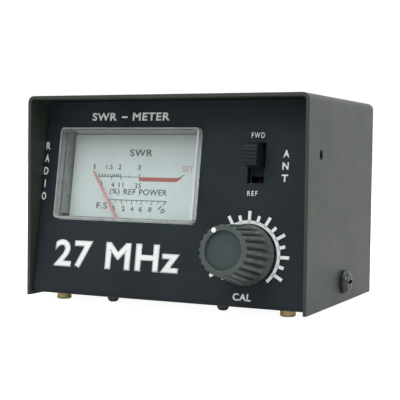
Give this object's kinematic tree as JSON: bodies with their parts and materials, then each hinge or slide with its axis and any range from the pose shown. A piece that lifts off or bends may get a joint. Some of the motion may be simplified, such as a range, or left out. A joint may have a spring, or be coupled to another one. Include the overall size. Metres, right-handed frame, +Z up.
{
  "type": "swr meter",
  "caption": "Small steel-cased SWR and power meter: sloped front with a moving-coil meter, FWD/REF slide switch and CAL knob, coaxial sockets behind.",
  "frame": {"origin": "middle of the whole object in X and Y, on the surface that the bottom screw heads stand on", "axes": "+Z up, the front panel looks along -Y, the sockets along +Y, +X to the right as seen from the front"},
  "size_m": [0.0946, 0.0922, 0.062],
  "materials": {
    "cover_paint": "satin dark grey-olive stoving paint, fine texture",
    "panel_paint": "semi-gloss blue-black paint",
    "zinc_steel": "bright zinc plate",
    "black_steel": "black oxide with worn edges",
    "yellow_zinc": "yellow passivated plate",
    "clear_plastic": "clear moulded styrene",
    "black_plastic": "moulded",
    "dial_white": "matt white printed plate",
    "brass": "turned",
    "soft_iron": "machined soft iron",
    "magnet": "ground magnet alloy",
    "needle_red": "matt red",
    "coil_copper": "enamelled copper",
    "bright_steel": "turned bright",
    "phenolic": "brown phenolic laminate",
    "silvered": "silver plated",
    "slider_black": "moulded, satin",
    "nickel": "nickel plated",
    "knob_plastic": "moulded, satin",
    "knob_cap": "satin inlay",
    "board_green": "solder-masked laminate",
    "socket_insulator": "dark moulded phenolic",
    "diode_glass": "glass with a black band",
    "resistor_body": "lacquered",
    "capacitor_body": "dipped ceramic",
    "wire_red": "insulation",
    "wire_yellow": "insulation",
    "wire_black": "insulation"
  },
  "bodies": {
    "case": {"top_cover": "cover_paint", "chassis": "panel_paint", "side_rails": "zinc_steel", "cover_screws": "black_steel", "bottom_screws": "yellow_zinc", "bracket_screws": "black_steel", "meter_lens": "clear_plastic", "meter_case": "black_plastic", "dial_plate": "dial_white", "meter_terminals": "brass", "meter_bracket": "zinc_steel", "meter_yoke": "soft_iron", "magnet_core": "magnet", "core_spacers": "brass", "movement_screws": "zinc_steel", "front_bridge": "brass", "rear_bridge": "brass", "jewel_screws": "brass", "switch_shell": "black_steel", "switch_base": "black_plastic", "switch_terminals": "silvered", "pot_bushing": "nickel", "pot_can": "zinc_steel", "pot_track": "phenolic", "pot_terminals": "silvered", "pot_washer": "zinc_steel", "pot_nut": "nickel", "control_board": "board_green", "radio_socket": "nickel", "antenna_socket": "nickel", "radio_insulator": "socket_insulator", "antenna_insulator": "socket_insulator", "radio_contact": "silvered", "antenna_contact": "silvered", "socket_screws": "zinc_steel", "socket_nuts": "zinc_steel", "coupler_standoffs": "brass", "board_screws": "zinc_steel", "coupler_board": "board_green", "through_line": "coil_copper", "sense_lines": "coil_copper", "detector_diodes": "diode_glass", "line_resistors": "resistor_body", "bypass_capacitors": "capacitor_body", "forward_wire": "wire_red", "reflected_wire": "wire_yellow", "ground_wire": "wire_black", "meter_wires": "wire_black"},
    "switch_slider": {"switch_actuator": "slider_black", "switch_contacts": "silvered"},
    "cal_control": {"cal_knob": "knob_plastic", "knob_cap": "knob_cap", "pot_shaft": "bright_steel", "pot_wiper": "black_plastic"},
    "meter_needle": {"pointer": "needle_red", "counterweight": "brass", "moving_coil": "coil_copper", "pivot_staffs": "bright_steel", "hairsprings": "brass"}
  },
  "joints": [
    {"name": "forward_reflected_slide", "type": "slide", "parent": "case", "child": "switch_slider", "axis": [0, 0.1564, 0.9877], "range_m": [-0.0042, 0]},
    {"name": "calibration_turn", "type": "hinge", "parent": "case", "child": "cal_control", "pos_m": [0.02595, -0.02857, 0.01692], "axis": [0, -0.9877, 0.1564], "range_deg": [-167, 107]},
    {"name": "needle_swing", "type": "hinge", "parent": "case", "child": "meter_needle", "pos_m": [-0.0135, -0.02846, 0.01766], "axis": [0, -0.9877, 0.1564], "range_deg": [-70, 0], "stiffness_Nm_per_rad": 0.00004, "springref_deg": 2.86}
  ]
}
